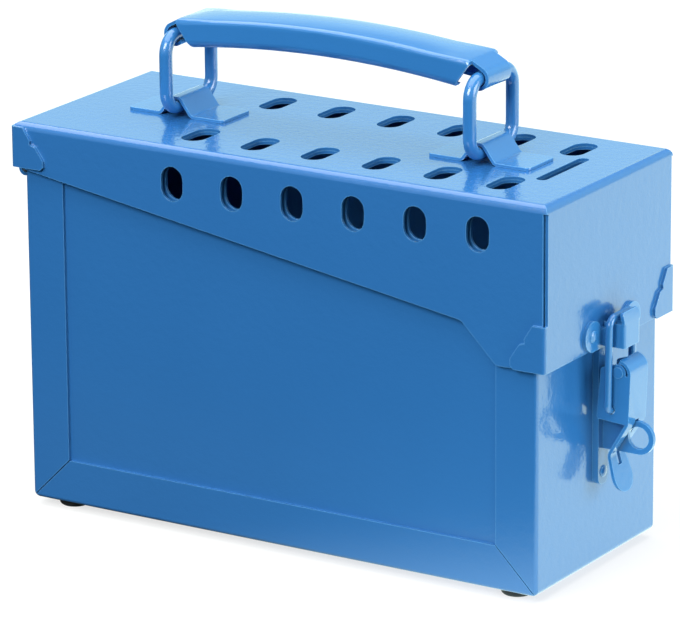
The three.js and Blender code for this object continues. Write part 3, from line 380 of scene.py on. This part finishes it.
def bare_steel(name):
    material, tree = new_material(name)
    grain = object_noise(tree, STEEL_GRAINS_PER_METRE, STEEL_GRAIN_DETAIL)
    rough = add_node(tree, "ShaderNodeMapRange")
    set_inputs(rough, To_Min=STEEL_SMOOTHEST, To_Max=STEEL_ROUGHEST)
    join(tree, grain.outputs["Fac"], rough.inputs["Value"])
    metal = add_node(tree, "ShaderNodeBsdfPrincipled")
    set_inputs(metal, Metallic=STEEL_METALLIC)
    join(tree, two_tone(tree, grain.outputs["Fac"], STEEL_DARK, STEEL_LIGHT), metal.inputs["Base Color"])
    join(tree, rough.outputs["Result"], metal.inputs["Roughness"])
    output = add_node(tree, "ShaderNodeOutputMaterial")
    join(tree, metal.outputs["BSDF"], output.inputs["Surface"])
    return material


def black_rubber(name):
    material, tree = new_material(name)
    grain = object_noise(tree, RUBBER_GRAINS_PER_METRE, RUBBER_GRAIN_DETAIL)
    dust = object_noise(tree, DUST_PER_METRE, DUST_DETAIL)
    relief = add_node(tree, "ShaderNodeBump")
    set_inputs(relief, Strength=RUBBER_RELIEF_STRENGTH, Distance=RUBBER_RELIEF)
    join(tree, grain.outputs["Fac"], relief.inputs["Height"])
    rubber = add_node(tree, "ShaderNodeBsdfPrincipled")
    set_inputs(rubber, Roughness=RUBBER_ROUGHNESS)
    join(tree, two_tone(tree, dust.outputs["Fac"], RUBBER_DARK, RUBBER_DUSTY), rubber.inputs["Base Color"])
    join(tree, relief.outputs["Normal"], rubber.inputs["Normal"])
    output = add_node(tree, "ShaderNodeOutputMaterial")
    join(tree, rubber.outputs["BSDF"], output.inputs["Surface"])
    return material


# Pieces
def body_of(node):
    for body, nodes in frame["record"]["behaviour"]["bodies"].items():
        if node in nodes:
            return body
    raise ValueError(node)


def dressed_copy(node, name, material, edge_material, edge, steps):
    """A merged copy of a CAD node with softened edges, which stands for it."""
    mesh = frame["nodes"][node].data.copy()
    mesh.name = name
    mesh.materials.clear()
    mesh.materials.append(material)
    mesh.materials.append(edge_material)
    work = bmesh.new()
    work.from_mesh(mesh)
    bmesh.ops.remove_doubles(work, verts=work.verts, dist=WELD)
    bmesh.ops.dissolve_limit(work, angle_limit=FLAT_ENOUGH, verts=work.verts, edges=work.edges)
    sharp = [line for line in work.edges if line.is_manifold and line.calc_face_angle() > CREASE]
    rounding = bmesh.ops.bevel(work, geom=sharp, offset=edge, offset_type="OFFSET", affect="EDGES",
                               segments=steps, profile=0.5, clamp_overlap=True, material=-1)
    # Bevel faces take the second material: for paint a lighter blue, a thinner film with a painted
    # highlight on the rims
    for face in rounding["faces"]:
        face.material_index = 1
    for face in work.faces:
        face.smooth = True
    work.to_mesh(mesh)
    work.free()
    mesh.set_sharp_from_angle(angle=CREASE)
    piece = bpy.data.objects.new(name, mesh)
    bpy.context.scene.collection.objects.link(piece)
    shading = piece.modifiers.new("even_shading", "WEIGHTED_NORMAL")
    shading.keep_sharp = True
    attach(piece, body_of(node))
    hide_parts(node)


def dress(nodes, ending, material, edge_material, edge, steps=SOFT_EDGE_STEPS):
    for node in nodes:
        dressed_copy(node, node + ending, material, edge_material, edge, steps)


def dress_box():
    groups = orange_peel_group(), paint_tone_group()
    box_paint = powder_coat("box_paint", groups, BOX_BLUE, BOX_EDGE_FILM_AND_HIGHLIGHT_BLUE, BOX_ROUGHNESS,
                            BOX_WAVE, BOX_WAVE_STRENGTH)
    # Edge paints: lighter blues for the bevelled rims, a thinner film with a painted highlight
    box_edge_paint_and_highlight = powder_coat("box_edge_paint_and_highlight", groups, BOX_THIN_FILM_AND_HIGHLIGHT_BLUE, THIN_FILM_PAINTED_HIGHLIGHT_BLUE, THIN_ROUGHNESS,
                                 BOX_WAVE, FINE_WAVE_STRENGTH)
    # Fitting paint is lighter than box paint as painted light
    fitting_paint = powder_coat("fitting_paint", groups, FITTING_BLUE_WITH_PAINTED_LIGHT, FITTING_EDGE_FILM_AND_HIGHLIGHT_BLUE,
                                FITTING_ROUGHNESS, FITTING_WAVE, FINE_WAVE_STRENGTH)
    fitting_edge_paint_and_highlight = powder_coat("fitting_edge_paint_and_highlight", groups, FITTING_THIN_FILM_AND_HIGHLIGHT_BLUE, THIN_FILM_PAINTED_HIGHLIGHT_BLUE,
                                     THIN_ROUGHNESS, FITTING_WAVE, FINE_WAVE_STRENGTH)
    pin_steel = bare_steel("pin_steel")
    foot_rubber = black_rubber("foot_rubber")
    dress(BOX_PIECES, "_painted", box_paint, box_edge_paint_and_highlight, BOX_EDGE)
    dress(LID_PIECES, "_painted", box_paint, box_edge_paint_and_highlight, LID_EDGE, LID_EDGE_STEPS)
    dress(FITTING_PIECES, "_painted", fitting_paint, fitting_edge_paint_and_highlight, FITTING_EDGE)
    dress(PIN_PIECES, "_bare", pin_steel, pin_steel, PIN_EDGE)
    dress(FEET, "_rubber", foot_rubber, foot_rubber, FOOT_EDGE)


# Studio
def mirrored_floor(tree):
    """What the paint mirrors of the floor: lit paper with an even glow, dim in front of the box."""
    where = add_node(tree, "ShaderNodeTexCoord")
    beside = side_shade(tree, where.outputs["Object"], BRIGHT_FLOOR_SIDE, FLOOR_DIM, FLOOR_BRIGHT,
                        SIDE_SHADE_START, SIDE_SHADE_END)
    rearward = side_shade(tree, where.outputs["Object"], REARWARD, FLOOR_DIM, 1.0,
                          REAR_SHADE_START, REAR_SHADE_END)
    tinted = add_node(tree, "ShaderNodeVectorMath", operation="SCALE")
    tinted.inputs[0].default_value = FLOOR_TINT
    join(tree, product(tree, beside, rearward), tinted.inputs["Scale"])
    lit = add_node(tree, "ShaderNodeBsdfDiffuse")
    join(tree, tinted.outputs["Vector"], lit.inputs["Color"])
    bounce = add_node(tree, "ShaderNodeEmission")
    set_inputs(bounce, Strength=BOUNCE_STRENGTH)
    join(tree, tinted.outputs["Vector"], bounce.inputs["Color"])
    mirrored = add_node(tree, "ShaderNodeMixShader")
    set_inputs(mirrored, Fac=BOUNCE_SHARE)
    join(tree, lit.outputs["BSDF"], mirrored.inputs[1])
    join(tree, bounce.outputs["Emission"], mirrored.inputs[2])
    return mirrored.outputs["Shader"]


def white_paper(tree):
    """What the camera sees of the floor: white paper that still takes the box's shadow."""
    paper = add_node(tree, "ShaderNodeBsdfDiffuse")
    set_inputs(paper, Color=PAPER_WHITE)
    glow = add_node(tree, "ShaderNodeEmission")
    set_inputs(glow, Color=WHITE, Strength=1)
    seen = add_node(tree, "ShaderNodeMixShader")
    set_inputs(seen, Fac=PAPER_GLOW_SHARE)
    join(tree, paper.outputs["BSDF"], seen.inputs[1])
    join(tree, glow.outputs["Emission"], seen.inputs[2])
    return seen.outputs["Shader"]


def pale_floor():
    mesh = bpy.data.meshes.new("studio_floor")
    work = bmesh.new()
    bmesh.ops.create_grid(work, x_segments=1, y_segments=1, size=FLOOR_HALF)
    work.to_mesh(mesh)
    work.free()
    floor = bpy.data.objects.new("studio_floor", mesh)
    bpy.context.scene.collection.objects.link(floor)
    material, tree = new_material("studio_floor")
    white_to_camera(tree, mirrored_floor(tree), white_paper(tree), "ShaderNodeOutputMaterial")
    mesh.materials.append(material)


def studio_world():
    """A room that is bright behind the box and dim elsewhere, white to the camera."""
    world = bpy.data.worlds.new("studio")
    world.use_nodes = True
    tree = world.node_tree
    tree.nodes.clear()
    where = add_node(tree, "ShaderNodeTexCoord")
    behind = side_shade(tree, where.outputs["Generated"], BRIGHT_SIDE, 0.0, 1.0, BEHIND_START, BEHIND_END)
    low = side_shade(tree, where.outputs["Generated"], SKYWARD, 1.0, 0.0, LOW_START, LOW_END)
    bright = product(tree, behind, low)
    tint = add_node(tree, "ShaderNodeMix", data_type="RGBA")
    set_inputs(tint, A=DIM_TINT, B=BRIGHT_TINT)
    join(tree, bright, tint.inputs["Factor"])
    level = add_node(tree, "ShaderNodeMapRange")
    set_inputs(level, To_Min=DIM_LEVEL, To_Max=BRIGHT_LEVEL)
    join(tree, bright, level.inputs["Value"])
    room = add_node(tree, "ShaderNodeBackground")
    join(tree, tint.outputs["Result"], room.inputs["Color"])
    join(tree, level.outputs["Result"], room.inputs["Strength"])
    white = add_node(tree, "ShaderNodeBackground")
    set_inputs(white, Color=WHITE, Strength=1)
    white_to_camera(tree, room.outputs["Background"], white.outputs["Background"], "ShaderNodeOutputWorld")
    bpy.context.scene.world = world


def soft_lamp(name, place, aim, size, power):
    data = bpy.data.lights.new(name, "AREA")
    data.shape = "RECTANGLE"
    data.size, data.size_y = size
    data.energy = power
    lamp = bpy.data.objects.new(name, data)
    lamp.location = place
    lamp.rotation_euler = (Vector(aim) - Vector(place)).to_track_quat("-Z", "Y").to_euler()
    bpy.context.scene.collection.objects.link(lamp)


dress_box()
place_camera()
pale_floor()
studio_world()
for name, place, aim, size, power in LAMPS:
    soft_lamp(name, place, aim, size, power)

bpy.context.scene.view_settings.view_transform = "Standard"
